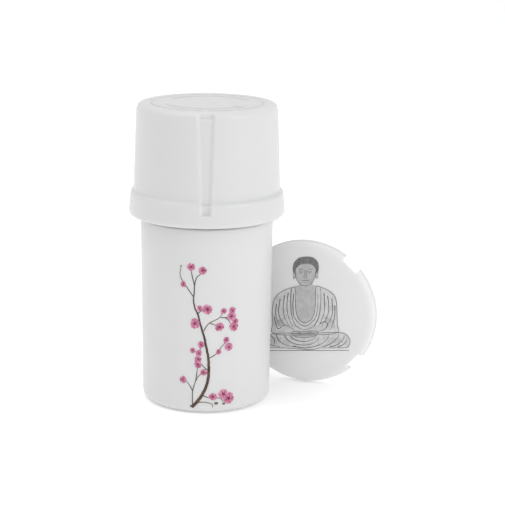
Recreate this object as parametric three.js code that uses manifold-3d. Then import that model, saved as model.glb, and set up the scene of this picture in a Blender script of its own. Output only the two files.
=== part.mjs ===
// A push-and-turn storage vial with a pill crusher built into its cap.
// Millimetres, +Z up. The origin is the centre of the vial's base.
import * as THREE from "three";
import { mergeVertices } from "three/addons/utils/BufferGeometryUtils.js";
import Module from "manifold-3d";

const wasm = await Module();
wasm.setup();

// ---------------------------------------------------------------- driving dimensions
const HEIGHT = 104.16;
const SEGMENTS = 48;
const GAP = 0.3;
const FUSE = 0.2;
const OVERCUT = 1.0;

// vial
const FOOT_RADIUS = 22.36;
const FOOT_FILLET = 2.5;
const BODY_TOP_RADIUS = 22.88;
const SHOULDER_Z = 64.8;
const SHOULDER_FILLET = 0.6;
const BODY_WALL = 1.5;
const FLOOR_THICKNESS = 1.8;
const FLOOR_FILLET = 1.6;
const GROOVE_INNER = 11.0;
const GROOVE_OUTER = 17.5;
const GROOVE_DEPTH = 0.4;
const NECK_RADIUS = 19.8;
const NECK_BORE = 18.3;
const NECK_TOP = 77.0;

// screw thread, one start, right-handed
const PITCH = 4.0;
const THREAD_TURNS = 1.5;
const THREAD_STEPS_PER_TURN = 36;
const NECK_THREAD_CREST = 20.8;
const NECK_THREAD_START = 67.6;
const THREAD_BASE_HALF = 0.8;
const THREAD_CREST_HALF = 0.4;
const THREAD_ROOT_SINK = 0.3;

// threaded collar
const COLLAR_BOTTOM = 67.8;
const COLLAR_BORE = 21.1;
const COLLAR_OUTER_LOW = 22.5;
const COLLAR_OUTER_HIGH = 22.1;
const COLLAR_THREAD_CREST = 20.3;
const WEB_BOTTOM = 78.4;
const WEB_TOP = 80.4;
const CHAMBER_BORE = 18.0;
const CHAMBER_OUTER = 19.4;
const CHAMBER_TOP = 91.0;
const KEY_WIDTH = 2.0;
const KEY_INNER = 16.6;
const KEY_BOTTOM = 83.0;
const KEY_TOP = 90.6;
const KEY_COUNT = 4;
const KEY_SIDE_ROOM = 0.4;
const KEY_REACH_ROOM = 0.5;
const CLUTCH_TEETH = 12;
const CLUTCH_TOOTH_WIDTH = 5.0;
const CLUTCH_OUTER = 21.6;
const CLUTCH_TOP = 81.7;

// soft rings
const SEAL_INNER = 18.4;
const SEAL_OUTER = 20.7;
const SEAL_HEIGHT = 0.8;
const ROTOR_SEAL_HEIGHT = 0.9;

// crushers
const LOWER_OUTER = 17.7;
const LOWER_RIM_INNER = 16.3;
const LOWER_BOTTOM = 77.4;
const LOWER_PLATE_BOTTOM = 78.4;
const LOWER_PLATE_TOP = 80.4;
const LOWER_RIM_TOP = 89.0;
const POST_RADIUS = 2.2;
const POST_TOP = 92.0;
const POST_CHAMFER = 0.6;
const UPPER_PLATE_BOTTOM = 92.5;
const UPPER_PLATE_TOP = 94.5;
const UPPER_RADIUS = 22.8;
const HUB_INNER = 2.6;
const HUB_OUTER = 4.0;
const HUB_BOTTOM = 85.0;
const SPRING_RING_INNER = 11.0;
const SPRING_RING_OUTER = 12.2;
const SPRING_RING_TOP = 95.8;
const TOOTH_RADIAL_HALF = 0.95;
const TOOTH_TANGENT_HALF = 1.6;
const TOOTH_TIP_SHARE = 0.55;
const LOWER_TOOTH_TOP = 89.5;
const UPPER_TOOTH_TIP = 81.4;
const LOWER_TOOTH_RINGS = [
  { radius: 5.6, count: 4 },
  { radius: 11.2, count: 6 },
];
const UPPER_TOOTH_RINGS = [
  { radius: 8.4, count: 4 },
  { radius: 14.0, count: 8 },
];
const SIEVE_SLOT_WIDTH = 1.6;
const SIEVE_SLOT_ROWS = [
  { inner: 7.0, outer: 9.8, count: 6 },
  { inner: 12.8, outer: 15.6, count: 12 },
];

// wave spring
const SPRING_INNER = 12.6;
const SPRING_OUTER = 15.4;
const SPRING_BOTTOM = 94.8;
const SPRING_HEIGHT = 2.8;
const SPRING_STRIP = 0.7;
const SPRING_WAVES = 4;

// outer cap
const BAND_BOTTOM = 65.74;
const BAND_FILLET = 1.17;
const BAND_RADIUS_LOW = 27.0;
const BAND_RADIUS_HIGH = 26.48;
const BAND_SHOULDER_START = 72.6;
const BAND_SHOULDER_SLOPE = 50;
const CREASE_RADIUS = 1.4;
const CAP_RADIUS_LOW = 25.25;
const CAP_RADIUS_HIGH = 24.24;
const CAP_TOP_FILLET = 2.2;
const CAP_WALL = 1.3;
const CAP_CEILING = 102.5;
const CEILING_CHAMFER = 1.0;
const BAND_BORE = 25.4;
const LIP_BORE = 24.8;
const LIP_TOP = 66.1;
const SHOULDER_SINE = Math.sin(THREE.MathUtils.degToRad(BAND_SHOULDER_SLOPE));
const SHOULDER_COSINE = Math.cos(THREE.MathUtils.degToRad(BAND_SHOULDER_SLOPE));
const SHOULDER_STEP = (BAND_RADIUS_HIGH - CAP_RADIUS_LOW) / (1 - SHOULDER_COSINE);
const SHOULDER_RADIUS = SHOULDER_STEP - CREASE_RADIUS;
const BAND_SHOULDER_END = BAND_SHOULDER_START + SHOULDER_STEP * SHOULDER_SINE;
const CHANNELS = 4;
const CHANNEL_TURN = -0.7;
const CHANNEL_NOTCH_Z = 101.9;
const CHANNEL_NOTCH_FLOOR = 23.0;
const CHANNEL_STEP_Z = 73.4;
const CHANNEL_STEP_RISE = 0.8;
const CHANNEL_END_Z = 69.5;
const CHANNEL_FLOOR_HIGH = 23.5;
const CHANNEL_FLOOR_LOW = 24.6;
const CHANNEL_HALF_HIGH = 1.95;
const CHANNEL_HALF_LOW = 0.9;
const CHANNEL_SIDE = 0.95;
const RIB_SKIN = 1.6;
const RIB_FLARE = 0.62;
const RIB_END_Z = 68.9;
const SEAT_INNER = 13.0;
const SEAT_OUTER = 15.0;
const SEAT_BOTTOM = 97.9;
const LUG_INNER = 20.1;
const LUG_WIDTH = 3.0;
const LUG_BOTTOM = 82.1;
const LUG_TOP = 84.1;
const LUG_ROOT = 0.6;

// retaining ring
const RETAINER_INNER = 21.5;
const RETAINER_OUTER = 25.1;
const RETAINER_BOTTOM = 66.4;
const RETAINER_TOP = 67.5;

// picture cover, standing on its edge beside the vial
const COVER_RADIUS = 26.3;
const COVER_BORE = 24.9;
const COVER_DEPTH = 3.4;
const COVER_PLATE = 1.2;
const COVER_BORE_FILLET = 0.6;
const COVER_FACE_RADIUS = 22.9;
const COVER_EDGE_DROP = 1.1;
const COVER_WALL_RADIUS = 25.85;
const COVER_FLANGE = 0.8;
const COVER_NOTCHES = 4;
const COVER_NOTCH_HALF = 3.33;
const COVER_NOTCH_DEPTH = 2.0;
const COVER_CENTRE_X = 35.11;
const COVER_CENTRE_Y = 11.9;
const COVER_TURN = -20;
const COVER_ROLL = 3.5;

// ---------------------------------------------------------------- shape helpers
const radians = THREE.MathUtils.degToRad;

// Points on an elliptical arc in the radius-height plane, angles in degrees.
function arc(centreR, centreZ, radiusR, radiusZ, from, to, steps) {
  const points = [];
  for (let i = 0; i <= steps; i += 1) {
    const angle = radians(from + ((to - from) * i) / steps);
    points.push([centreR + radiusR * Math.cos(angle), centreZ + radiusZ * Math.sin(angle)]);
  }
  return points;
}

// A quarter circle that starts at an angle and turns counter-clockwise.
function quarter(centreR, centreZ, radius, from, steps) {
  return arc(centreR, centreZ, radius, radius, from, from + 90, steps);
}

// A closed three.js geometry as a solid, with its faces turned outwards.
function solid(geometry) {
  const bare = new THREE.BufferGeometry();
  bare.setAttribute("position", geometry.getAttribute("position"));
  bare.setIndex(geometry.index);
  const merged = mergeVertices(bare, 1e-4);
  const position = merged.getAttribute("position");
  const index = merged.index.array;
  const corners = [new THREE.Vector3(), new THREE.Vector3(), new THREE.Vector3()];
  const triangles = [];
  let volume = 0;
  for (let i = 0; i < index.length; i += 3) {
    const [a, b, c] = [index[i], index[i + 1], index[i + 2]];
    if (a === b || b === c || c === a) continue;
    triangles.push([a, b, c]);
    corners[0].fromBufferAttribute(position, a);
    corners[1].fromBufferAttribute(position, b);
    corners[2].fromBufferAttribute(position, c);
    volume += corners[0].dot(corners[1].cross(corners[2]));
  }
  const outward = volume < 0 ? triangles.map(([a, b, c]) => [a, c, b]) : triangles;
  return new wasm.Manifold(
    new wasm.Mesh({
      numProp: 3,
      vertProperties: new Float32Array(position.array),
      triVerts: new Uint32Array(outward.flat()),
    }),
  );
}

// A solid of revolution about Z. The profile runs from axis to axis, or round a ring.
function turned(profile) {
  const closed = profile[0][0] === 0 ? profile : [...profile, profile[0]];
  const points = closed.map(([r, z]) => new THREE.Vector2(r, z));
  return solid(new THREE.LatheGeometry(points, SEGMENTS).rotateX(Math.PI / 2));
}

// A ring of rectangular section.
function flatRing(inner, outer, bottom, top) {
  return turned([
    [inner, bottom],
    [outer, bottom],
    [outer, top],
    [inner, top],
  ]);
}

// A block across the +X radius. Its inner face and width change evenly from low to high,
// and its sides spread outwards by flare for each millimetre of radius.
function taperedBlock(low, high, outer, flare = 0) {
  const geometry = new THREE.BoxGeometry(1, 1, 1);
  const position = geometry.getAttribute("position");
  for (let i = 0; i < position.count; i += 1) {
    const end = position.getZ(i) < 0 ? low : high;
    const x = position.getX(i) < 0 ? end.inner : outer;
    const half = end.half + flare * (x - end.inner);
    position.setXYZ(i, x, Math.sign(position.getY(i)) * half, end.z);
  }
  return solid(geometry);
}

// An upright block across the +X radius.
function block(inner, outer, width, bottom, top) {
  const half = width / 2;
  return taperedBlock({ z: bottom, inner, half }, { z: top, inner, half }, outer);
}

// Copies of a solid spread evenly about Z, the first one turned by start degrees.
function around(shape, count, start = 0) {
  const copies = [];
  for (let i = 0; i < count; i += 1) {
    copies.push(shape.rotate([0, 0, start + (360 * i) / count]));
  }
  return copies;
}

const joined = (shapes) => shapes.reduce((sum, shape) => sum.add(shape));
const withAll = (body, shapes) => body.add(joined(shapes));
const withoutAll = (body, shapes) => body.subtract(joined(shapes));

// A screw-thread ridge of trapezoidal section that climbs counter-clockwise.
function threadRidge(root, crest, startZ) {
  const section = [
    [root, -THREAD_BASE_HALF],
    [crest, -THREAD_CREST_HALF],
    [crest, THREAD_CREST_HALF],
    [root, THREAD_BASE_HALF],
  ];
  const sides = section.length;
  const steps = THREAD_TURNS * THREAD_STEPS_PER_TURN;
  const positions = [];
  const index = [];
  for (let i = 0; i <= steps; i += 1) {
    const turn = i / THREAD_STEPS_PER_TURN;
    const angle = 2 * Math.PI * turn;
    for (const [r, z] of section) {
      positions.push(r * Math.cos(angle), r * Math.sin(angle), startZ + PITCH * turn + z);
    }
  }
  for (let i = 0; i < steps; i += 1) {
    for (let j = 0; j < sides; j += 1) {
      const a = i * sides + j;
      const b = i * sides + ((j + 1) % sides);
      index.push(a, b, b + sides, a, b + sides, a + sides);
    }
  }
  const last = steps * sides;
  index.push(0, 2, 1, 0, 3, 2);
  index.push(last, last + 1, last + 2, last, last + 2, last + 3);
  const geometry = new THREE.BufferGeometry();
  geometry.setAttribute("position", new THREE.Float32BufferAttribute(positions, 3));
  geometry.setIndex(index);
  return solid(geometry);
}

// A crushing tooth: a lozenge in plan that narrows from its root to its tip.
function tooth(radius, rootZ, tipZ) {
  const height = Math.abs(tipZ - rootZ);
  const [top, bottom] = tipZ > rootZ ? [TOOTH_TIP_SHARE, 1] : [1, TOOTH_TIP_SHARE];
  const geometry = new THREE.CylinderGeometry(top, bottom, height, 4)
    .rotateX(Math.PI / 2)
    .scale(TOOTH_RADIAL_HALF, TOOTH_TANGENT_HALF, 1)
    .translate(radius, 0, (rootZ + tipZ) / 2);
  return solid(geometry);
}

// Every tooth of a set of rings, the gaps of all rings lined up along +X.
function teeth(rings, rootZ, tipZ) {
  return rings.flatMap(({ radius, count }) =>
    around(tooth(radius, rootZ, tipZ), count, 180 / count),
  );
}

// ---------------------------------------------------------------- materials
function plastic(color, roughness) {
  return new THREE.MeshStandardMaterial({ color, roughness, metalness: 0 });
}

const group = new THREE.Group();

// Adds a named mesh made from a solid to a parent group.
function addPart(name, shape, material, parent = group) {
  const mesh = shape.getMesh();
  const geometry = new THREE.BufferGeometry();
  geometry.setAttribute("position", new THREE.BufferAttribute(mesh.vertProperties, 3));
  geometry.setIndex(new THREE.BufferAttribute(mesh.triVerts, 1));
  geometry.computeVertexNormals();
  const part = new THREE.Mesh(geometry, material);
  part.name = name;
  parent.add(part);
  return part;
}

// ---------------------------------------------------------------- the vial
function containerShape() {
  const innerTop = BODY_TOP_RADIUS - BODY_WALL;
  const innerFoot = FOOT_RADIUS - BODY_WALL;
  const innerShoulderZ = SHOULDER_Z - BODY_WALL;
  const body = turned([
    [0, 0],
    [GROOVE_INNER, 0],
    [GROOVE_INNER + GROOVE_DEPTH, GROOVE_DEPTH],
    [GROOVE_OUTER - GROOVE_DEPTH, GROOVE_DEPTH],
    [GROOVE_OUTER, 0],
    ...quarter(FOOT_RADIUS - FOOT_FILLET, FOOT_FILLET, FOOT_FILLET, -90, 4),
    ...quarter(BODY_TOP_RADIUS - SHOULDER_FILLET, SHOULDER_Z - SHOULDER_FILLET, SHOULDER_FILLET, 0, 2),
    [NECK_RADIUS, SHOULDER_Z],
    [NECK_RADIUS, NECK_TOP],
    [NECK_BORE, NECK_TOP],
    [NECK_BORE, innerShoulderZ],
    [innerTop, innerShoulderZ - (innerTop - NECK_BORE)],
    ...quarter(innerFoot - FLOOR_FILLET, FLOOR_THICKNESS + FLOOR_FILLET, FLOOR_FILLET, -90, 2).reverse(),
    [0, FLOOR_THICKNESS],
  ]);
  return body.add(
    threadRidge(NECK_RADIUS - THREAD_ROOT_SINK, NECK_THREAD_CREST, NECK_THREAD_START),
  );
}

// ---------------------------------------------------------------- soft rings
function sealRingShape() {
  const bottom = NECK_TOP + GAP;
  return flatRing(SEAL_INNER, SEAL_OUTER, bottom, bottom + SEAL_HEIGHT);
}

function rotorSealShape() {
  const bottom = CHAMBER_TOP + GAP;
  return flatRing(CHAMBER_BORE, CHAMBER_OUTER, bottom, bottom + ROTOR_SEAL_HEIGHT);
}

// ---------------------------------------------------------------- threaded collar
function collarShape() {
  const shell = turned([
    [COLLAR_BORE, COLLAR_BOTTOM],
    [COLLAR_OUTER_LOW, COLLAR_BOTTOM],
    [COLLAR_OUTER_HIGH, WEB_TOP],
    [CHAMBER_OUTER, WEB_TOP],
    [CHAMBER_OUTER, CHAMBER_TOP],
    [CHAMBER_BORE, CHAMBER_TOP],
    [CHAMBER_BORE, WEB_BOTTOM],
    [COLLAR_BORE, WEB_BOTTOM],
  ]);
  const ridge = threadRidge(
    COLLAR_BORE + THREAD_ROOT_SINK,
    COLLAR_THREAD_CREST,
    NECK_THREAD_START + PITCH / 2,
  );
  const key = block(KEY_INNER, CHAMBER_BORE + FUSE, KEY_WIDTH, KEY_BOTTOM, KEY_TOP);
  const clutchTooth = block(
    CHAMBER_OUTER - FUSE,
    CLUTCH_OUTER,
    CLUTCH_TOOTH_WIDTH,
    WEB_TOP - FUSE,
    CLUTCH_TOP,
  );
  return joined([
    shell,
    ridge,
    ...around(key, KEY_COUNT, 180 / KEY_COUNT),
    ...around(clutchTooth, CLUTCH_TEETH, 180 / CLUTCH_TEETH),
  ]);
}

// ---------------------------------------------------------------- crushers
function lowerCrusherShape() {
  const cup = turned([
    [0, LOWER_PLATE_BOTTOM],
    [LOWER_RIM_INNER - GAP, LOWER_PLATE_BOTTOM],
    [LOWER_RIM_INNER, LOWER_BOTTOM],
    [LOWER_OUTER, LOWER_BOTTOM],
    [LOWER_OUTER, LOWER_RIM_TOP],
    [LOWER_RIM_INNER, LOWER_RIM_TOP],
    [LOWER_RIM_INNER, LOWER_PLATE_TOP],
    [POST_RADIUS, LOWER_PLATE_TOP],
    [POST_RADIUS, POST_TOP - POST_CHAMFER],
    [POST_RADIUS - POST_CHAMFER, POST_TOP],
    [0, POST_TOP],
  ]);
  const keySlot = block(
    LOWER_RIM_INNER - KEY_REACH_ROOM,
    LOWER_OUTER + KEY_REACH_ROOM,
    KEY_WIDTH + 2 * KEY_SIDE_ROOM,
    KEY_BOTTOM - KEY_SIDE_ROOM,
    LOWER_RIM_TOP + OVERCUT,
  );
  const slotBottom = LOWER_BOTTOM - OVERCUT;
  const slotTop = LOWER_PLATE_TOP + OVERCUT;
  const sieve = SIEVE_SLOT_ROWS.flatMap(({ inner, outer, count }) =>
    around(block(inner, outer, SIEVE_SLOT_WIDTH, slotBottom, slotTop), count),
  );
  const cut = withoutAll(cup, [...around(keySlot, KEY_COUNT, 180 / KEY_COUNT), ...sieve]);
  return withAll(cut, teeth(LOWER_TOOTH_RINGS, LOWER_PLATE_TOP - FUSE, LOWER_TOOTH_TOP));
}

function upperCrusherShape() {
  const disc = turned([
    [0, UPPER_PLATE_BOTTOM],
    [HUB_INNER, UPPER_PLATE_BOTTOM],
    [HUB_INNER, HUB_BOTTOM],
    [HUB_OUTER, HUB_BOTTOM],
    [HUB_OUTER, UPPER_PLATE_BOTTOM],
    [UPPER_RADIUS, UPPER_PLATE_BOTTOM],
    [UPPER_RADIUS, UPPER_PLATE_TOP],
    [SPRING_RING_OUTER, UPPER_PLATE_TOP],
    [SPRING_RING_OUTER, SPRING_RING_TOP],
    [SPRING_RING_INNER, SPRING_RING_TOP],
    [SPRING_RING_INNER, UPPER_PLATE_TOP],
    [0, UPPER_PLATE_TOP],
  ]);
  const notch = taperedBlock(
    ribAt(UPPER_PLATE_BOTTOM - OVERCUT, 2 * GAP),
    ribAt(UPPER_PLATE_TOP + OVERCUT, 2 * GAP),
    UPPER_RADIUS + OVERCUT,
    RIB_FLARE,
  );
  const keyed = withoutAll(disc, around(notch, CHANNELS, CHANNEL_TURN));
  return withAll(keyed, teeth(UPPER_TOOTH_RINGS, UPPER_PLATE_BOTTOM + FUSE, UPPER_TOOTH_TIP));
}

// ---------------------------------------------------------------- wave spring
// A flat ring bent into waves; its underside touches the crusher and its crests the cap.
function waveSpringShape() {
  const amplitude = (SPRING_HEIGHT - SPRING_STRIP) / 2;
  const profile = [
    [SPRING_INNER, 0],
    [SPRING_OUTER, 0],
    [SPRING_OUTER, SPRING_STRIP],
    [SPRING_INNER, SPRING_STRIP],
    [SPRING_INNER, 0],
  ];
  const points = profile.map(([r, z]) => new THREE.Vector2(r, z));
  const geometry = new THREE.LatheGeometry(points, SEGMENTS).rotateX(Math.PI / 2);
  const position = geometry.getAttribute("position");
  for (let i = 0; i < position.count; i += 1) {
    const angle = Math.atan2(position.getY(i), position.getX(i));
    const lift = amplitude * (1 + Math.cos(SPRING_WAVES * angle));
    position.setZ(i, SPRING_BOTTOM + position.getZ(i) + lift);
  }
  return solid(geometry);
}

// ---------------------------------------------------------------- outer cap
// A grip channel's floor radius and half width at a height.
function channelAt(z) {
  const share = (z - CHANNEL_STEP_Z) / (CHANNEL_NOTCH_Z - CHANNEL_STEP_Z);
  return {
    z,
    inner: THREE.MathUtils.lerp(CHANNEL_FLOOR_LOW, CHANNEL_FLOOR_HIGH, share),
    half: THREE.MathUtils.lerp(CHANNEL_HALF_LOW, CHANNEL_HALF_HIGH, share),
  };
}

// The rib behind a channel, or the room that it needs: its inner face and half width.
function ribAt(z, clearance = 0) {
  const channel = channelAt(z);
  const margin = RIB_SKIN + clearance;
  return { z, inner: channel.inner - margin, half: channel.half + margin };
}

// A cut for a channel between two heights. Its sides spread by CHANNEL_SIDE at the surface.
function channelCut(low, high, surface) {
  const flare = CHANNEL_SIDE / (surface - low.inner);
  return taperedBlock(low, high, BAND_RADIUS_LOW + OVERCUT, flare);
}

function outerCapShape() {
  const topFilletRadius = CAP_RADIUS_HIGH - CAP_TOP_FILLET;
  const outside = turned([
    [0, BAND_BOTTOM],
    ...quarter(BAND_RADIUS_LOW - BAND_FILLET, BAND_BOTTOM + BAND_FILLET, BAND_FILLET, -90, 3),
    ...arc(
      BAND_RADIUS_HIGH - SHOULDER_RADIUS,
      BAND_SHOULDER_START,
      SHOULDER_RADIUS,
      SHOULDER_RADIUS,
      0,
      BAND_SHOULDER_SLOPE,
      4,
    ),
    ...arc(
      CAP_RADIUS_LOW + CREASE_RADIUS,
      BAND_SHOULDER_END,
      CREASE_RADIUS,
      CREASE_RADIUS,
      180 + BAND_SHOULDER_SLOPE,
      180,
      3,
    ).slice(1),
    ...quarter(topFilletRadius, HEIGHT - CAP_TOP_FILLET, CAP_TOP_FILLET, 0, 4),
    [0, HEIGHT],
  ]);
  const hollow = turned([
    [0, BAND_BOTTOM - OVERCUT],
    [LIP_BORE, BAND_BOTTOM - OVERCUT],
    [LIP_BORE, LIP_TOP],
    [BAND_BORE, LIP_TOP],
    [BAND_BORE, BAND_SHOULDER_START],
    [CAP_RADIUS_LOW - CAP_WALL, BAND_SHOULDER_END],
    [CAP_RADIUS_HIGH - CAP_WALL, CAP_CEILING - CEILING_CHAMFER],
    [CAP_RADIUS_HIGH - CAP_WALL - CEILING_CHAMFER, CAP_CEILING],
    [0, CAP_CEILING],
  ]);
  const rib = taperedBlock(
    ribAt(RIB_END_Z),
    ribAt(CAP_CEILING + OVERCUT),
    BAND_RADIUS_LOW + OVERCUT,
    RIB_FLARE,
  );
  const step = channelAt(CHANNEL_STEP_Z);
  const shoulder = channelAt(BAND_SHOULDER_END);
  const wallChannel = channelCut(shoulder, channelAt(HEIGHT + OVERCUT), CAP_RADIUS_LOW);
  const bandChannel = channelCut(step, channelAt(BAND_SHOULDER_END + FUSE), BAND_RADIUS_HIGH);
  const notchLow = { ...channelAt(CHANNEL_NOTCH_Z), inner: CHANNEL_NOTCH_FLOOR };
  const notchHigh = { ...notchLow, z: HEIGHT + OVERCUT };
  const notch = channelCut(notchLow, notchHigh, CAP_RADIUS_HIGH);
  const pocketLow = { ...step, z: CHANNEL_END_Z, inner: step.inner + CHANNEL_STEP_RISE };
  const pocketHigh = { ...pocketLow, z: CHANNEL_STEP_Z + FUSE };
  const pocket = channelCut(pocketLow, pocketHigh, BAND_RADIUS_HIGH);
  const seat = flatRing(SEAT_INNER, SEAT_OUTER, SEAT_BOTTOM, CAP_CEILING + FUSE);
  const lugRoot = ribAt(LUG_TOP).inner + LUG_ROOT;
  const lug = block(LUG_INNER, lugRoot, LUG_WIDTH, LUG_BOTTOM, LUG_TOP);
  const ribbedHollow = withoutAll(hollow, around(rib, CHANNELS, CHANNEL_TURN));
  const grip = joined([wallChannel, bandChannel, notch, pocket]);
  const grips = around(grip, CHANNELS, CHANNEL_TURN);
  const cut = withoutAll(outside, [...grips, ribbedHollow]);
  return withAll(cut, [seat, ...around(lug, CHANNELS, CHANNEL_TURN)]);
}

// ---------------------------------------------------------------- retaining ring
function retainingRingShape() {
  return flatRing(RETAINER_INNER, RETAINER_OUTER, RETAINER_BOTTOM, RETAINER_TOP);
}

// ---------------------------------------------------------------- picture cover
// Face up, with the middle of its face at the local origin.
function pictureCoverShape() {
  const rimWidth = COVER_WALL_RADIUS - COVER_FACE_RADIUS;
  const shell = turned([
    [0, -COVER_PLATE],
    [COVER_BORE - COVER_BORE_FILLET, -COVER_PLATE],
    [COVER_BORE, -COVER_PLATE - COVER_BORE_FILLET],
    [COVER_BORE, -COVER_DEPTH],
    [COVER_RADIUS, -COVER_DEPTH],
    [COVER_RADIUS, COVER_FLANGE - COVER_DEPTH],
    [COVER_WALL_RADIUS, COVER_FLANGE - COVER_DEPTH],
    ...arc(COVER_FACE_RADIUS, -COVER_EDGE_DROP, rimWidth, COVER_EDGE_DROP, 0, 90, 5),
    [0, 0],
  ]);
  const notch = block(
    COVER_RADIUS - COVER_NOTCH_DEPTH,
    COVER_RADIUS + OVERCUT,
    2 * COVER_NOTCH_HALF,
    -COVER_DEPTH - OVERCUT,
    OVERCUT,
  );
  const firstNotch = COVER_ROLL + 180 / COVER_NOTCHES;
  return withoutAll(shell, around(notch, COVER_NOTCHES, firstNotch));
}

// ---------------------------------------------------------------- assembly
addPart("container", containerShape(), plastic("#e9e9ea", 0.42));
addPart("seal_ring", sealRingShape(), plastic("#d4d4d0", 0.7));
addPart("threaded_collar", collarShape(), plastic("#e3e4e6", 0.45));
addPart("lower_crusher", lowerCrusherShape(), plastic("#dcdde0", 0.45));
addPart("upper_crusher", upperCrusherShape(), plastic("#dcdde0", 0.45));
addPart("rotor_seal", rotorSealShape(), plastic("#d4d4d0", 0.7));
addPart("wave_spring", waveSpringShape(), plastic("#e0e0dc", 0.5));
addPart("outer_cap", outerCapShape(), plastic("#e9e9ea", 0.4));
addPart("retaining_ring", retainingRingShape(), plastic("#e3e4e6", 0.45));

const coverStand = new THREE.Group();
coverStand.position.set(COVER_CENTRE_X, COVER_CENTRE_Y, COVER_RADIUS);
coverStand.rotation.z = radians(COVER_TURN);
group.add(coverStand);
const cover = addPart("picture_cover", pictureCoverShape(), plastic("#e2e5e7", 0.4), coverStand);
cover.rotation.x = Math.PI / 2;

export default group;
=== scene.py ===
"""A push-and-turn storage vial with a pill crusher in its cap, and the cap's picture cover."""
import math
import random

import bmesh
import bpy
from mathutils import Matrix, Vector
from mathutils.geometry import tessellate_polygon


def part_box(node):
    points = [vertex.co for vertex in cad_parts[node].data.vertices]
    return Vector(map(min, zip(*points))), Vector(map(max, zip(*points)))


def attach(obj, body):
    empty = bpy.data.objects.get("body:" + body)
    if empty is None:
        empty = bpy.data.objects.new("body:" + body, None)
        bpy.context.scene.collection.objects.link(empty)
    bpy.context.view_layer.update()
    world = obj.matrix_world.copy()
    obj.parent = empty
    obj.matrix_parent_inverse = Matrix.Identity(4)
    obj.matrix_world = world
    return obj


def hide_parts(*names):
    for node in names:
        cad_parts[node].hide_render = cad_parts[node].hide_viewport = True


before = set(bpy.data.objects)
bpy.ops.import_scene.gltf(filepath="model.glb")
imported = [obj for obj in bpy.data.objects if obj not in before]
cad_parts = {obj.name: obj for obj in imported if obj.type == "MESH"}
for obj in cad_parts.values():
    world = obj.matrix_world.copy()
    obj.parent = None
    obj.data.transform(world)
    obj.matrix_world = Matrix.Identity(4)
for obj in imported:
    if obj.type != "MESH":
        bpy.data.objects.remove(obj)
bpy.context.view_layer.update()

MM = 0.001
TURN = 2 * math.pi
COLUMNS = 192


def mm_box(node):
    """A CAD node's lowest and highest corners in millimetres."""
    low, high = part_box(node)
    return low / MM, high / MM


# ------------------------------------------------------------------ camera, light and floor
CAMERA_PLACE = Vector((0.0, -0.522, 0.181))
CAMERA_YAW = math.radians(1.748)
CAMERA_PITCH = math.radians(13.93)
CAMERA_ROLL = math.radians(0.651)
CAMERA_LENS = 110.0
SURROUND_STRENGTH = 0.84
LIGHT_TARGET = (0, 0, 0.06)
SOFT_BOXES = [
    ("key", (0.88, -0.74, 0.5), 0.7, 0.7, 3.8),
    ("overhead", (-0.35, 0.0, 1.2), 0.7, 0.7, 2.8),
    ("strip", (-0.62, 0.1, 0.7), 1.2, 0.14, 0.45),
]
FLOOR_REACH = 8.0
FLOOR_DROP = 0.0003
FLOOR_SHADE = 0.92
FLOOR_GLOW = 0.2


def make_camera():
    """The camera stands in front of the vial, a little above its cap, and looks down at it."""
    forward = Vector(
        (
            math.sin(CAMERA_YAW) * math.cos(CAMERA_PITCH),
            math.cos(CAMERA_YAW) * math.cos(CAMERA_PITCH),
            -math.sin(CAMERA_PITCH),
        )
    )
    level = Vector((math.cos(CAMERA_YAW), -math.sin(CAMERA_YAW), 0))
    upright = level.cross(forward)
    right = math.cos(CAMERA_ROLL) * level + math.sin(CAMERA_ROLL) * upright
    up = math.cos(CAMERA_ROLL) * upright - math.sin(CAMERA_ROLL) * level
    camera = bpy.data.objects.new("camera", bpy.data.cameras.new("camera"))
    turn = Matrix((right, up, -forward)).transposed().to_4x4()
    camera.matrix_world = Matrix.Translation(CAMERA_PLACE) @ turn
    camera.data.sensor_width = 36
    camera.data.lens = CAMERA_LENS
    camera.data.clip_start = 0.01
    camera.data.clip_end = 20
    bpy.context.scene.collection.objects.link(camera)
    bpy.context.scene.camera = camera


def make_light(name, place, width, height, power):
    """A soft box that faces the middle of the object."""
    light = bpy.data.lights.new(name, "AREA")
    light.shape = "RECTANGLE"
    light.size = width
    light.size_y = height
    light.energy = power
    holder = bpy.data.objects.new(name, light)
    direction = Vector(LIGHT_TARGET) - Vector(place)
    holder.rotation_euler = direction.to_track_quat("-Z", "Y").to_euler()
    holder.location = place
    bpy.context.scene.collection.objects.link(holder)


def make_studio():
    """A pale floor, a white surround and three soft boxes, the strongest one at the right."""
    scene = bpy.context.scene
    scene.view_settings.view_transform = "Standard"
    world = bpy.data.worlds.new("surround")
    world.use_nodes = True
    background = world.node_tree.nodes["Background"]
    background.inputs["Color"].default_value = (1, 1, 1, 1)
    background.inputs["Strength"].default_value = SURROUND_STRENGTH
    scene.world = world
    for soft_box in SOFT_BOXES:
        make_light(*soft_box)

    mesh = bpy.data.meshes.new("floor")
    signs = ((-1, -1), (1, -1), (1, 1), (-1, 1))
    corners = [(FLOOR_REACH * x, FLOOR_REACH * y, 0) for x, y in signs]
    mesh.from_pydata(corners, [], [(0, 1, 2, 3)])
    floor = bpy.data.objects.new("floor", mesh)
    floor.location.z = -FLOOR_DROP
    scene.collection.objects.link(floor)
    material = bpy.data.materials.new("floor_paper")
    material.use_nodes = True
    shader = material.node_tree.nodes["Principled BSDF"]
    shader.inputs["Base Color"].default_value = (FLOOR_SHADE, FLOOR_SHADE, FLOOR_SHADE, 1)
    shader.inputs["Roughness"].default_value = 0.9
    shader.inputs["Specular IOR Level"].default_value = 0.1
    shader.inputs["Emission Color"].default_value = (1, 1, 1, 1)
    shader.inputs["Emission Strength"].default_value = FLOOR_GLOW
    mesh.materials.append(material)


# ------------------------------------------------------------------ materials
def new_material(name):
    """A node material, its tree and its principled shader."""
    material = bpy.data.materials.new(name)
    material.use_nodes = True
    tree = material.node_tree
    return material, tree, tree.nodes["Principled BSDF"]


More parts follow.
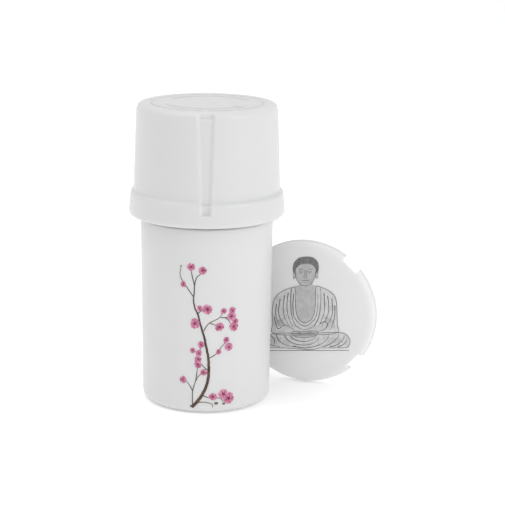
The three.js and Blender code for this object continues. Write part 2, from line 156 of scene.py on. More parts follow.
def noise(tree, scale, detail, roughness=0.5):
    """A noise texture in the object's own space."""
    place = tree.nodes.new("ShaderNodeTexCoord")
    texture = tree.nodes.new("ShaderNodeTexNoise")
    texture.inputs["Scale"].default_value = scale
    texture.inputs["Detail"].default_value = detail
    texture.inputs["Roughness"].default_value = roughness
    tree.links.new(place.outputs["Object"], texture.inputs["Vector"])
    return texture.outputs["Fac"]


def ramp(tree, value, stops):
    """A colour ramp over a value. stops is a list of (position, grey or colour)."""
    node = tree.nodes.new("ShaderNodeValToRGB")
    elements = node.color_ramp.elements
    while len(elements) < len(stops):
        elements.new(0.5)
    for element, (position, colour) in zip(elements, stops):
        rgb = (colour,) * 3 if isinstance(colour, float) else colour
        element.position = position
        element.color = (*rgb, 1)
    tree.links.new(value, node.inputs["Fac"])
    return node.outputs["Color"]


def bump(tree, shader, height, strength, distance):
    """Adds a bump from a height value."""
    node = tree.nodes.new("ShaderNodeBump")
    node.inputs["Strength"].default_value = strength
    node.inputs["Distance"].default_value = distance
    tree.links.new(height, node.inputs["Height"])
    tree.links.new(node.outputs["Normal"], shader.inputs["Normal"])


def moulded_plastic(name, colour, roughness, milkiness):
    """Moulded polypropylene: faint flow clouds, a fine satin grain and a milky depth."""
    material, tree, shader = new_material(name)
    clouds = noise(tree, 60, 3)
    shades = [(0.25, tuple(c * 0.985 for c in colour)), (0.75, colour)]
    tree.links.new(ramp(tree, clouds, shades), shader.inputs["Base Color"])
    gloss = noise(tree, 240, 2)
    spread = [(0.2, roughness - 0.05), (0.8, roughness + 0.05)]
    tree.links.new(ramp(tree, gloss, spread), shader.inputs["Roughness"])
    bump(tree, shader, noise(tree, 2600, 3, 0.6), 0.08, 0.00005)
    shader.inputs["IOR"].default_value = 1.49
    shader.inputs["Specular IOR Level"].default_value = 0.42
    shader.inputs["Subsurface Weight"].default_value = milkiness
    shader.inputs["Subsurface Radius"].default_value = (1.0, 0.95, 0.9)
    shader.inputs["Subsurface Scale"].default_value = 0.003
    return material


def soft_elastomer(name, colour):
    """Soft moulded rubber: matt, with a powdery grain."""
    material, tree, shader = new_material(name)
    clouds = noise(tree, 300, 4)
    shades = [(0.3, tuple(c * 0.9 for c in colour)), (0.7, colour)]
    tree.links.new(ramp(tree, clouds, shades), shader.inputs["Base Color"])
    shader.inputs["Roughness"].default_value = 0.75
    bump(tree, shader, noise(tree, 3500, 4, 0.7), 0.3, 0.00006)
    shader.inputs["Subsurface Weight"].default_value = 0.1
    shader.inputs["Subsurface Scale"].default_value = 0.001
    return material


def printing_ink(name, dark, light, scale):
    """A printed ink film whose tone drifts between two colours, with a dry, speckled surface."""
    material, tree, shader = new_material(name)
    tone = noise(tree, scale, 4, 0.65)
    tree.links.new(ramp(tree, tone, [(0.35, dark), (0.65, light)]), shader.inputs["Base Color"])
    shader.inputs["Roughness"].default_value = 0.5
    bump(tree, shader, noise(tree, 4000, 2), 0.15, 0.00003)
    return material


# ------------------------------------------------------------------ mesh tools
def new_piece(name, vertices, faces, material, body, replaced=()):
    """A shown piece from vertices in millimetres. It rides on a body and may stand for nodes."""
    mesh = bpy.data.meshes.new(name)
    mesh.from_pydata([Vector(v) * MM for v in vertices], [], faces)
    mesh.validate()
    mesh.update()
    piece = bpy.data.objects.new(name, mesh)
    bpy.context.scene.collection.objects.link(piece)
    mesh.materials.append(material)
    mesh.shade_smooth()
    if replaced:
        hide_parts(*replaced)
    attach(piece, body)
    return piece


def rounded(corners, steps=5):
    """An open outline in the radius-height plane. corners is a list of (r, z, fillet radius)."""
    outline = []
    for i, (r, z, fillet) in enumerate(corners):
        here = Vector((r, z))
        if not fillet or i in (0, len(corners) - 1):
            outline.append(here)
            continue
        back = (Vector(corners[i - 1][:2]) - here).normalized()
        on = (Vector(corners[i + 1][:2]) - here).normalized()
        half = back.angle(on) / 2
        centre = here + (back + on).normalized() * fillet / math.sin(half)
        start = here + back * fillet / math.tan(half) - centre
        end = here + on * fillet / math.tan(half) - centre
        sweep = start.angle_signed(end)
        for k in range(steps + 1):
            angle = -sweep * k / steps
            turned = Matrix.Rotation(angle, 2) @ start
            outline.append(centre + turned)
    return outline


def supported(outline, margin=0.12, step=6.0):
    """The outline with a point just inside each end of its long straight stretches."""
    points = [outline[0]]
    for here, there in zip(outline, outline[1:]):
        span = (there - here).length
        if span > 5 * margin:
            along = (there - here) / span
            count = max(1, round(span / step))
            points.append(here + along * margin)
            for k in range(1, count):
                points.append(here + along * span * k / count)
            points.append(there - along * margin)
        points.append(there)
    return points


def stacked_rings(rings):
    """Vertices and faces of rings of points joined in order. A ring of one point is a pole."""
    vertices, faces, starts = [], [], []
    for ring in rings:
        starts.append(len(vertices))
        vertices.extend(ring)
    for i in range(len(rings) - 1):
        a, b = starts[i], starts[i + 1]
        count_a, count_b = len(rings[i]), len(rings[i + 1])
        count = max(count_a, count_b)
        for k in range(count):
            n = (k + 1) % count
            if count_a == 1:
                faces.append((a, b + n, b + k))
            elif count_b == 1:
                faces.append((a + k, a + n, b))
            else:
                faces.append((a + k, a + n, b + n, b + k))
    return vertices, faces


def outward(vertices, faces):
    """The faces turned so that a closed surface encloses a positive volume."""
    points = [Vector(v) for v in vertices]
    volume = 0.0
    for face in faces:
        for k in range(1, len(face) - 1):
            a, b, c = points[face[0]], points[face[k]], points[face[k + 1]]
            volume += a.dot(b.cross(c))
    return faces if volume > 0 else [tuple(reversed(face)) for face in faces]


def on_axis(r):
    """Whether a radius is so small that its ring is a single point."""
    return r < 1e-6


def turned_rings(outline, columns=COLUMNS, lift=None):
    """Rings about Z along an outline. lift(angle, r, z) may move a ring's radius."""
    rings = []
    for r, z in outline:
        if on_axis(r):
            rings.append([(0, 0, z)])
            continue
        ring = []
        for k in range(columns):
            angle = TURN * k / columns
            radius = r if lift is None else lift(angle, r, z)
            ring.append((radius * math.cos(angle), radius * math.sin(angle), z))
        rings.append(ring)
    return rings


# ------------------------------------------------------------------ the vial
_, vial_high = mm_box("container")
VIAL_TOP = vial_high.z
FOOT_RADIUS = 22.36
FOOT_FILLET = 2.5
BODY_TOP_RADIUS = vial_high.x
SHOULDER_Z = 64.8
SHOULDER_FILLET = 0.6
BODY_WALL = 1.5
FLOOR_THICKNESS = 1.8
FLOOR_FILLET = 1.6
GROOVE_INNER = 11.0
GROOVE_OUTER = 17.5
GROOVE_DEPTH = 0.4
GROOVE_FILLET = 0.15
NECK_RADIUS = 19.8
NECK_BORE = 18.3
NECK_ROOT_FILLET = 0.4
NECK_RIM_FILLET = 0.35
BORE_FILLET = 0.8
INNER_SHOULDER_FILLET = 1.0
PITCH = 4.0
THREAD_TURNS = 1.5
THREAD_HEIGHT = 1.0
NECK_THREAD_START = 67.6
THREAD_BASE_HALF = 0.8
THREAD_CREST_HALF = 0.4
THREAD_FADE = 1 / 16
NECK_RING_STEP = 0.2


def thread_height(angle, z, start_z, height):
    """How far a one-start thread ridge stands out of a wall at an angle and height."""
    best = 0.0
    for turn in range(3):
        travel = turn + angle / TURN
        if travel > THREAD_TURNS:
            break
        offset = abs(z - (start_z + PITCH * travel))
        flank = (THREAD_BASE_HALF - offset) / (THREAD_BASE_HALF - THREAD_CREST_HALF)
        fade = min(1.0, travel / THREAD_FADE, (THREAD_TURNS - travel) / THREAD_FADE)
        best = max(best, height * fade * min(1.0, max(0.0, flank)))
    return best


def on_neck(r):
    """Whether a radius is that of the neck's outer wall."""
    return abs(r - NECK_RADIUS) < 1e-3


def make_vial(material):
    """The container: a cup with a rounded foot, a shoulder and a threaded neck."""
    inner_top = BODY_TOP_RADIUS - BODY_WALL
    inner_shoulder = SHOULDER_Z - BODY_WALL
    outline = rounded(
        [
            (0, 0, 0),
            (GROOVE_INNER, 0, GROOVE_FILLET),
            (GROOVE_INNER + GROOVE_DEPTH, GROOVE_DEPTH, GROOVE_FILLET),
            (GROOVE_OUTER - GROOVE_DEPTH, GROOVE_DEPTH, GROOVE_FILLET),
            (GROOVE_OUTER, 0, GROOVE_FILLET),
            (FOOT_RADIUS, 0, FOOT_FILLET),
            (BODY_TOP_RADIUS, SHOULDER_Z, SHOULDER_FILLET),
            (NECK_RADIUS, SHOULDER_Z, NECK_ROOT_FILLET),
            (NECK_RADIUS, VIAL_TOP, NECK_RIM_FILLET),
            (NECK_BORE, VIAL_TOP, NECK_RIM_FILLET),
            (NECK_BORE, inner_shoulder, BORE_FILLET),
            (inner_top, inner_shoulder - (inner_top - NECK_BORE), INNER_SHOULDER_FILLET),
            (FOOT_RADIUS - BODY_WALL, FLOOR_THICKNESS, FLOOR_FILLET),
            (0, FLOOR_THICKNESS, 0),
        ]
    )
    points = []
    for here, there in zip(outline, outline[1:]):
        points.append(here)
        if on_neck(here.x) and on_neck(there.x):
            count = round((there.y - here.y) / NECK_RING_STEP)
            points.extend(here.lerp(there, k / count) for k in range(1, count))
    points.append(outline[-1])

    def lift(angle, r, z):
        if not on_neck(r):
            return r
        return r + thread_height(angle, z, NECK_THREAD_START, THREAD_HEIGHT)

    vertices, faces = stacked_rings(turned_rings(supported(points), lift=lift))
    faces = outward(vertices, faces)
    return new_piece("vial_shell", vertices, faces, material, "vial", ["container"])


# ------------------------------------------------------------------ the outer cap
cap_low, cap_high = mm_box("outer_cap")
CAP_TOP = cap_high.z
CAP_RADIUS_LOW = 25.25
CAP_RADIUS_HIGH = 24.16
CAP_FILLET = 2.2
CAP_WALL = 1.3
CAP_CEILING = 102.5
CEILING_FILLET = 0.9
RELIEF = 0.06

BAND_BOTTOM = cap_low.z
BAND_RADIUS_LOW = cap_high.x
BAND_RADIUS_HIGH = 26.48
BAND_FILLET = 1.17
BAND_BORE = 25.4
BAND_SHOULDER_START = 72.6
BAND_SHOULDER_SLOPE = math.radians(50)
CREASE_RADIUS = 1.4
INNER_CREASE_FILLET = 0.3
SHOULDER_STEP = (BAND_RADIUS_HIGH - CAP_RADIUS_LOW) / (1 - math.cos(BAND_SHOULDER_SLOPE))
SHOULDER_RADIUS = SHOULDER_STEP - CREASE_RADIUS
BAND_SHOULDER_END = BAND_SHOULDER_START + SHOULDER_STEP * math.sin(BAND_SHOULDER_SLOPE)

LIP_BORE = 24.8
LIP_TOP = 66.1
LIP_CHAMFER = 0.3
LIP_SLOPE = 0.15
LIP_EDGE_FILLET = 0.12
LIP_FILLET = 0.1

SEAT_INNER = 13.0
SEAT_OUTER = 15.0
SEAT_BOTTOM = 97.9
SEAT_FILLET = 0.2

CHANNELS = 4
CHANNEL_TURN = math.radians(-0.7)
CHANNEL_NOTCH_Z = 101.9
CHANNEL_NOTCH_BLEND = (-0.15, 0.3)
CHANNEL_NOTCH_FLOOR = 23.0
CHANNEL_STEP_Z = 73.4
CHANNEL_STEP_BLEND = (-0.35, 0.35)
CHANNEL_STEP_RISE = 0.8
CHANNEL_END_Z = 69.5
CHANNEL_END_BLEND = (-0.1, 0.9)
CHANNEL_END_RISE = 4.0
CHANNEL_FLOOR_HIGH = 23.5
CHANNEL_FLOOR_LOW = 24.6
CHANNEL_HALF_HIGH = 1.95
CHANNEL_HALF_LOW = 0.9
CHANNEL_SIDE = 0.95
LEAST_CHANNEL_SHARE = -0.1
LEAST_CHANNEL_RADIUS = 20.0
EDGE_BLEND = 0.42
EDGE_MARGIN = 0.25
EDGE_REACH = 1.2
GAP_COLUMNS = 34

RIB_SKIN = 1.6
RIB_END_Z = 68.9
RIB_END_BLEND = (-0.1, 0.1)
LUG_INNER = 20.1
LUG_HALF = 1.5
LUG_BOTTOM = 82.1
LUG_TOP = 84.1
LUG_EDGE = 0.05
HEIGHT_SLACK = 0.01


def lerp(a, b, share):
    return a + (b - a) * share


def rise(z, height, blend):
    """From 0 to 1 over a stretch round a height, with soft ends. blend is its two offsets."""
    start, end = height + blend[0], height + blend[1]
    share = min(1.0, max(0.0, (z - start) / (end - start)))
    return share * share * (3 - 2 * share)


def channel_share(z):
    """How far up a grip channel a height is, from 0 at its step to 1 at its ledge."""
    return (z - CHANNEL_STEP_Z) / (CHANNEL_NOTCH_Z - CHANNEL_STEP_Z)


def plain_floor(z):
    """The radius of a grip channel's sloping floor at a height."""
    return lerp(CHANNEL_FLOOR_LOW, CHANNEL_FLOOR_HIGH, channel_share(z))


def channel_floor(z):
    """The radius of a grip channel's floor at a height, with its ledge, step and end."""
    floor = plain_floor(z)
    notch = rise(z, CHANNEL_NOTCH_Z, CHANNEL_NOTCH_BLEND)
    floor = lerp(floor, CHANNEL_NOTCH_FLOOR, notch)
    floor += CHANNEL_STEP_RISE * (1 - rise(z, CHANNEL_STEP_Z, CHANNEL_STEP_BLEND))
    return floor + CHANNEL_END_RISE * (1 - rise(z, CHANNEL_END_Z, CHANNEL_END_BLEND))


def channel_half(z):
    """Half the width of a grip channel's floor at a height."""
    share = max(channel_share(z), LEAST_CHANNEL_SHARE)
    return lerp(CHANNEL_HALF_LOW, CHANNEL_HALF_HIGH, share)


def trench(x, inner, outer, blend):
    """1 on a trench's floor, 0 outside it, sloping from inner to outer with soft edges."""

    def area(v):
        v = abs(v)
        if v <= inner:
            return v
        if v >= outer:
            return (inner + outer) / 2
        return v - (v - inner) ** 2 / (2 * (outer - inner))

    low, high = x - blend, x + blend
    signed_low = math.copysign(area(low), low)
    return (area(high) - signed_low) / (2 * blend)


def channelled_ring(z, radius, floor, half):
    """A ring whose radius goes to floor in four trenches, one of them near -Y."""
    depth = radius - floor
    outer = half + CHANNEL_SIDE
    blend = min(EDGE_BLEND, (outer - half) / 2)
    offsets = [0.0, (half - blend) / 2, half - blend, half - blend / 2, half, half + blend / 2]
    offsets += [(half + outer) / 2, outer - blend / 2, outer, outer + blend / 2]
    offsets += [outer + blend, outer + blend + EDGE_MARGIN, outer + EDGE_REACH]
    side = []
    for x in offsets:
        r = radius - depth * trench(x, half, outer, blend)
        side.append((math.asin(x / max(r, LEAST_CHANNEL_RADIUS)), r))
    edge = side[-1][0]
    ring = []
    for k in range(CHANNELS):
        centre = CHANNEL_TURN - TURN / 4 + TURN * k / CHANNELS
        ring.extend((centre - a, r) for a, r in reversed(side[1:]))
        ring.extend((centre + a, r) for a, r in side)
        span = TURN / CHANNELS - 2 * edge
        for i in range(1, GAP_COLUMNS):
            ring.append((centre + edge + span * i / GAP_COLUMNS, radius))
    return [(r * math.cos(a), r * math.sin(a), z) for a, r in ring]


def dense(points, marks):
    """Adds points to an outline where it crosses the given heights."""
    result = [points[0]]
    for here, there in zip(points, points[1:]):
        low, high = sorted((here.y, there.y))
        if high - low > 1e-6:
            cuts = [m for m in marks if low + 1e-4 < m < high - 1e-4]
            cuts.sort(reverse=here.y > there.y)
            for mark in cuts:
                result.append(here.lerp(there, (mark - here.y) / (there.y - here.y)))
        result.append(there)
    return result


def around_height(z, reach, count=9):
    """Heights evenly spread round z."""
    return [z + reach * (2 * k / (count - 1) - 1) for k in range(count)]


def cap_outside():
    """The cap's outer outline from the middle of its top down to the band's lower edge."""
    shoulder = []
    for k in range(9):
        angle = BAND_SHOULDER_SLOPE * k / 8
        r = CAP_RADIUS_LOW + CREASE_RADIUS * (1 - math.cos(angle))
        shoulder.append((r, BAND_SHOULDER_END - CREASE_RADIUS * math.sin(angle), 0))
    for k in range(7, -1, -1):
        angle = BAND_SHOULDER_SLOPE * k / 8
        r = BAND_RADIUS_HIGH - SHOULDER_RADIUS * (1 - math.cos(angle))
        shoulder.append((r, BAND_SHOULDER_START + SHOULDER_RADIUS * math.sin(angle), 0))
    return rounded(
        [
            (0, CAP_TOP - RELIEF, 0),
            (CAP_RADIUS_HIGH, CAP_TOP - RELIEF, CAP_FILLET),
            *shoulder,
            (BAND_RADIUS_LOW, BAND_BOTTOM, BAND_FILLET),
            (LIP_BORE + LIP_CHAMFER, BAND_BOTTOM, 0),
        ],
        8,
    )


def cap_inside():
    """The cap's inner outline from its lip up to the middle of its ceiling."""
    return rounded(
        [
            (LIP_BORE + LIP_CHAMFER, BAND_BOTTOM, 0),
            (LIP_BORE, BAND_BOTTOM, LIP_EDGE_FILLET),
            (LIP_BORE, LIP_TOP, LIP_FILLET),
            (BAND_BORE, LIP_TOP + LIP_SLOPE, LIP_FILLET),
            (BAND_BORE, BAND_SHOULDER_START, INNER_CREASE_FILLET),
            (CAP_RADIUS_LOW - CAP_WALL, BAND_SHOULDER_END, INNER_CREASE_FILLET),
            (CAP_RADIUS_HIGH - CAP_WALL, CAP_CEILING, CEILING_FILLET),
            (SEAT_OUTER, CAP_CEILING, SEAT_FILLET),
            (SEAT_OUTER, SEAT_BOTTOM, SEAT_FILLET),
            (SEAT_INNER, SEAT_BOTTOM, SEAT_FILLET),
            (SEAT_INNER, CAP_CEILING, SEAT_FILLET),
            (0, CAP_CEILING, 0),
        ],
        3,
    )


def make_cap(material):
    """The outer cap: a tapered shell with four grip channels, and ribs and lugs inside."""
    marks = around_height(CHANNEL_NOTCH_Z, 0.5)
    marks += around_height(CHANNEL_STEP_Z, 0.4)
    marks += around_height(CHANNEL_END_Z + 0.4, 0.8)
    rings = []
    for r, z in dense(supported(cap_outside()), marks):
        if on_axis(r):
            rings.append([(0, 0, z)])
            continue
        floor = min(r, channel_floor(z)) if r > CHANNEL_NOTCH_FLOOR else r
        rings.append(channelled_ring(z, r, floor, channel_half(z)))
    inner_marks = [RIB_END_Z + offset for offset in RIB_END_BLEND]
    for z in (LUG_BOTTOM, LUG_TOP):
        inner_marks += [z - LUG_EDGE, z + LUG_EDGE]
    for r, z in dense(supported(cap_inside()), inner_marks)[1:]:
        if on_axis(r):
            rings.append([(0, 0, z)])
            continue
        face = min(r, plain_floor(z) - RIB_SKIN)
        face = lerp(r, face, rise(z, RIB_END_Z, RIB_END_BLEND))
        half = channel_half(z) + RIB_SKIN
        if LUG_BOTTOM - HEIGHT_SLACK < z < LUG_TOP + HEIGHT_SLACK:
            face = LUG_INNER
            half = LUG_HALF
        rings.append(channelled_ring(z, r, face, half))
    vertices, faces = stacked_rings(rings)
    faces = outward(vertices, faces)
    return new_piece("cap_shell", vertices, faces, material, "cap", ["outer_cap"])


# ------------------------------------------------------------------ the picture cover
cover_low, cover_high = mm_box("picture_cover")
COVER_TURN = math.radians(-20)
COVER_ROLL = math.radians(3.5)
COVER_RADIUS = (cover_high.z - cover_low.z) / 2
COVER_DEPTH = 3.4
COVER_PLATE = 1.2
COVER_BORE = 24.9
COVER_WALL_RADIUS = 25.85
COVER_FLANGE = 0.8
COVER_FACE_RADIUS = 22.9
COVER_EDGE_DROP = 1.1
COVER_NOTCHES = 4
COVER_NOTCH_HALF = 3.33
COVER_NOTCH_FLOOR = 24.3
COVER_BEVEL = 0.18
COVER_RIGHT = Vector((math.cos(COVER_TURN), math.sin(COVER_TURN), 0))
COVER_NORMAL = Vector((math.sin(COVER_TURN), -math.cos(COVER_TURN), 0))
COVER_REAR_CORNER = Vector((cover_high.x, cover_high.y, COVER_RADIUS))
COVER_REACH = Vector((math.cos(COVER_TURN), -math.sin(COVER_TURN), 0)) * COVER_RADIUS
COVER_FACE = COVER_REAR_CORNER - COVER_REACH + COVER_NORMAL * COVER_DEPTH


def on_cover(x, y, height):
    """A point on the cover's face, x to its right and y up, height above the face."""
    across = x * math.cos(COVER_ROLL) - y * math.sin(COVER_ROLL)
    up = x * math.sin(COVER_ROLL) + y * math.cos(COVER_ROLL)
    return COVER_FACE + COVER_RIGHT * across + Vector((0, 0, up)) + COVER_NORMAL * height


def make_cover(material):
    """The picture cover: a shallow snap-on disc with a rounded rim and four notches."""
    rim = []
    for k in range(11):
        angle = math.pi / 2 * k / 10
        r = COVER_FACE_RADIUS + (COVER_WALL_RADIUS - COVER_FACE_RADIUS) * math.sin(angle)
        rim.append((r, COVER_EDGE_DROP * (math.cos(angle) - 1), 0))
    outline = rounded(
        [
            (0, 0, 0),
            *rim,
            (COVER_WALL_RADIUS, COVER_FLANGE - COVER_DEPTH, 0.1),
            (COVER_RADIUS, COVER_FLANGE - COVER_DEPTH, 0.12),
            (COVER_RADIUS, -COVER_DEPTH, 0.15),
            (COVER_BORE, -COVER_DEPTH, 0.2),
            (COVER_BORE, -COVER_PLATE, 0.3),
            (0, -COVER_PLATE, 0),
        ],
        4,
    )
    vertices, faces = stacked_rings(turned_rings(outline))
    faces = outward(vertices, faces)
    blank = bpy.data.meshes.new("cover_blank")
    blank.from_pydata([on_cover(*v) * MM for v in vertices], [], faces)
    holder = bpy.data.objects.new("cover_blank", blank)
    bpy.context.scene.collection.objects.link(holder)
    cutters = []
    for k in range(COVER_NOTCHES):
        turn = Matrix.Rotation(TURN * (k + 0.5) / COVER_NOTCHES, 2)
        corners = []
        for depth in (-COVER_DEPTH - 1, 1):
            for x, y in ((-1, 0), (1, 0), (1, 1), (-1, 1)):
                place = Vector((COVER_NOTCH_FLOOR + 4 * y, COVER_NOTCH_HALF * x))
                corners.append(on_cover(*(turn @ place), depth) * MM)
        sides = [(0, 3, 2, 1), (4, 5, 6, 7)]
        sides += [(i, (i + 1) % 4, (i + 1) % 4 + 4, i + 4) for i in range(4)]
        block = bpy.data.meshes.new("notch")
        block.from_pydata(corners, [], outward(corners, sides))
        cutter = bpy.data.objects.new("notch", block)
        bpy.context.scene.collection.objects.link(cutter)
        cut = holder.modifiers.new("notch", "BOOLEAN")
        cut.object = cutter
        cut.operation = "DIFFERENCE"
        cut.solver = "EXACT"
        cutters.append(cutter)
    result = holder.evaluated_get(bpy.context.evaluated_depsgraph_get())
    mesh = bpy.data.meshes.new_from_object(result)
    for spare in (holder, *cutters):
        bpy.data.objects.remove(spare)
    work = bmesh.new()
    work.from_mesh(mesh)
    bmesh.ops.remove_doubles(work, verts=work.verts, dist=1e-7)
    bmesh.ops.recalc_face_normals(work, faces=work.faces)
    work.to_mesh(mesh)
    work.free()
    mesh.name = "cover_shell"
    mesh.materials.clear()
    mesh.materials.append(material)
    mesh.shade_smooth()
    mesh.set_sharp_from_angle(angle=math.radians(35))
    piece = bpy.data.objects.new("cover_shell", mesh)
    bpy.context.scene.collection.objects.link(piece)
    edges = piece.modifiers.new("edges", "BEVEL")
    edges.width = COVER_BEVEL * MM
    edges.segments = 2
    edges.limit_method = "ANGLE"
    edges.angle_limit = math.radians(50)
    edges.harden_normals = True
    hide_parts("picture_cover")
    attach(piece, "cover")
    return piece


# ------------------------------------------------------------------ printing
INK_SUNK = 0.04


class Print:
    """Thin films of ink on a surface. surface(x, y, height) gives a point in millimetres."""

    def __init__(self, surface, sunk):
        self.surface = surface
        self.sunk = sunk
        self.vertices = []
        self.faces = []

    def add(self, top, triangles, border, height):
        """A closed film. top is its points, border its edge in order, counter-clockwise."""
        start = len(self.vertices)
        count = len(top)
        self.vertices.extend(self.surface(x, y, height) for x, y in top)
        self.vertices.extend(self.surface(x, y, -self.sunk) for x, y in top)
        for a, b, c in triangles:
            self.faces.append((start + a, start + b, start + c))
            self.faces.append((start + count + c, start + count + b, start + count + a))
        for a, b in zip(border, border[1:] + border[:1]):
            self.faces.append((start + a, start + count + a, start + count + b, start + b))

    def shape(self, outline, height):
        """A filled outline."""
        points = [Vector(p) for p in outline]
        area = sum(a.cross(b) for a, b in zip(points, points[1:] + points[:1]))
        if area < 0:
            points.reverse()
        flat = [Vector((p.x, p.y, 0)) for p in points]
        triangles = []
        for a, b, c in tessellate_polygon([flat]):
            turn = (points[b] - points[a]).cross(points[c] - points[a])
            triangles.append((a, b, c) if turn > 0 else (c, b, a))
        self.add(points, triangles, list(range(len(points))), height)

    def stroke(self, line, start_width, end_width, height):
        """A line drawn with a pen whose width changes from start to end."""
        points = [Vector(p) for p in line]
        count = len(points)
        left, right = [], []
        for i, point in enumerate(points):
            along = points[min(i + 1, count - 1)] - points[max(i - 1, 0)]
            across = Vector((-along.y, along.x)).normalized()
            half = lerp(start_width, end_width, i / (count - 1)) / 2
            left.append(point + across * half)
            right.append(point - across * half)
        top = right + left
        triangles = []
        for i in range(count - 1):
            triangles.append((i, i + 1, count + i + 1))
            triangles.append((i, count + i + 1, count + i))
        border = list(range(count)) + [count + i for i in reversed(range(count))]
        self.add(top, triangles, border, height)

    def finish(self, name, material, slot, body):
        piece = new_piece(name, self.vertices, self.faces, material, body)
        piece.data.set_sharp_from_angle(angle=math.radians(40))


def spline(points, steps=5, closed=False):
    """A smooth curve through points."""
    points = [Vector(p) for p in points]
    count = len(points)
    curve = []
    for i in range(count if closed else count - 1):
        if closed:
            before, here = points[i - 1], points[i]
            there, after = points[(i + 1) % count], points[(i + 2) % count]
        else:
            before, here = points[max(i - 1, 0)], points[i]
            there, after = points[i + 1], points[min(i + 2, count - 1)]
        for k in range(steps):
            t = k / steps
            pull = (there - before) * t + (2 * before - 5 * here + 4 * there - after) * t * t
            pull += (3 * here - before - 3 * there + after) * t**3
            curve.append(here + pull / 2)
    if not closed:
        curve.append(points[-1])
    return curve


def oval(x, y, half_width, half_height, count=16):
    """The outline of an oval."""
    outline = []
    for k in range(count):
        angle = TURN * k / count
        outline.append((x + half_width * math.cos(angle), y + half_height * math.sin(angle)))
    return outline


# ------------------------------------------------------------------ the blossom twig
PETALS = 5
PETAL_OUTLINE = [(0.1, -0.06), (0.4, -0.36), (0.8, -0.5), (1.06, -0.26), (0.97, 0.0)]
PETAL_OUTLINE += [(1.06, 0.26), (0.8, 0.5), (0.4, 0.36), (0.1, 0.06)]
TWIG_FILMS = {
    "branch": 0.045,
    "stem": 0.05,
    "knot": 0.052,
    "bud": 0.055,
    "petal": 0.06,
    "vein": 0.082,
    "heart": 0.086,
}
NEXT_PETAL = 0.0015
NEXT_VEIN = 0.0004
NEXT_BLOSSOM = 0.0004
TWIG_RISE = 0.7
TWIG_STRETCH = 1.024
TWIG_STEM = [(-5.0, 1.6), (-2.6, 4.2), (-0.2, 8.5), (0.7, 12.4), (0.8, 16.0), (0.6, 19.5)]
TWIG_STEM += [(-0.1, 23.0), (-0.7, 26.0), (-1.3, 28.0), (-2.3, 31.3), (-2.9, 34.0)]
TWIG_STEM += [(-4.0, 36.3), (-4.4, 39.4), (-4.1, 43.6), (-4.9, 46.8), (-5.3, 49.2)]
TWIG_BRANCHES = [
    [(-4.1, 43.8), (-3.4, 46.4), (-2.2, 47.6), (-1.6, 48.6)],
    [(-4.5, 40.0), (-6.7, 43.0), (-9.1, 46.6), (-8.8, 49.8)],
    [(-1.0, 28.2), (0.8, 30.9), (4.2, 32.6), (5.3, 34.0)],
    [(4.8, 32.8), (6.8, 32.7), (8.1, 33.0)],
    [(6.3, 32.7), (7.4, 31.9), (8.3, 30.5)],
    [(1.2, 31.0), (3.4, 30.1)],
    [(0.7, 18.8), (3.2, 20.2), (5.3, 22.8), (6.7, 24.2)],
    [(-4.7, 2.2), (-4.7, 7.2), (-3.7, 10.8), (-3.1, 14.8), (-2.8, 18.4), (-2.6, 20.6)],
    [(-3.6, 10.9), (-2.8, 12.4), (-1.9, 13.2)],
    [(-4.7, 7.3), (-5.8, 9.3), (-7.2, 10.8)],
    [(0.4, 14.8), (-0.8, 15.8), (-2.0, 17.2)],
    [(-2.6, 20.4), (-1.9, 22.6)],
    [(-2.6, 20.5), (-3.9, 21.2)],
    [(-1.2, 5.8), (1.2, 5.0), (4.7, 4.7), (5.9, 3.4)],
    [(-4.0, 3.0), (-1.2, 3.5), (1.8, 2.9), (2.2, 1.7)],
    [(-2.9, 34.2), (-1.8, 35.2), (-0.4, 35.5)],
]
TWIG_BLOSSOMS = [
    (-5.3, 50.0, 1.15),
    (-1.4, 49.0, 1.2),
    (-8.0, 44.0, 0.9),
    (0.4, 35.7, 1.45),
    (-2.3, 36.0, 0.85),
    (-3.9, 30.8, 1.45),
    (5.8, 35.0, 0.95),
    (9.0, 34.9, 1.05),
    (8.7, 33.1, 1.3),
    (9.5, 29.4, 1.35),
    (10.0, 31.0, 1.0),
    (4.5, 29.6, 1.3),
    (6.9, 25.0, 1.0),
    (7.8, 22.4, 1.2),
    (4.2, 21.0, 0.8),
    (-1.8, 23.6, 1.0),
    (-4.7, 21.5, 0.85),
    (-2.6, 20.6, 0.95),
    (-2.8, 18.4, 1.05),
    (-2.9, 16.6, 1.1),
    (-0.9, 14.0, 1.0),
    (-8.2, 11.0, 1.05),
    (2.3, 5.4, 1.15),
    (5.9, 6.2, 1.5),
    (7.9, 4.5, 1.6),
]
TWIG_BUDS = [(-8.8, 50.1, 0.35), (6.1, 2.7, 0.6), (3.4, 3.0, 0.75), (5.4, 34.2, 0.35)]


def on_vial(across, height, lift):
    """A point on the front of the vial, across from its middle and up the printed twig."""
    height = TWIG_RISE + TWIG_STRETCH * height
    radius = lerp(FOOT_RADIUS, BODY_TOP_RADIUS, height / SHOULDER_Z) + lift
    if height < FOOT_FILLET:
        rise = FOOT_FILLET - height
        radius -= FOOT_FILLET - math.sqrt(FOOT_FILLET**2 - rise**2)
    angle = -TURN / 4 + across / radius
    return Vector((radius * math.cos(angle), radius * math.sin(angle), height))


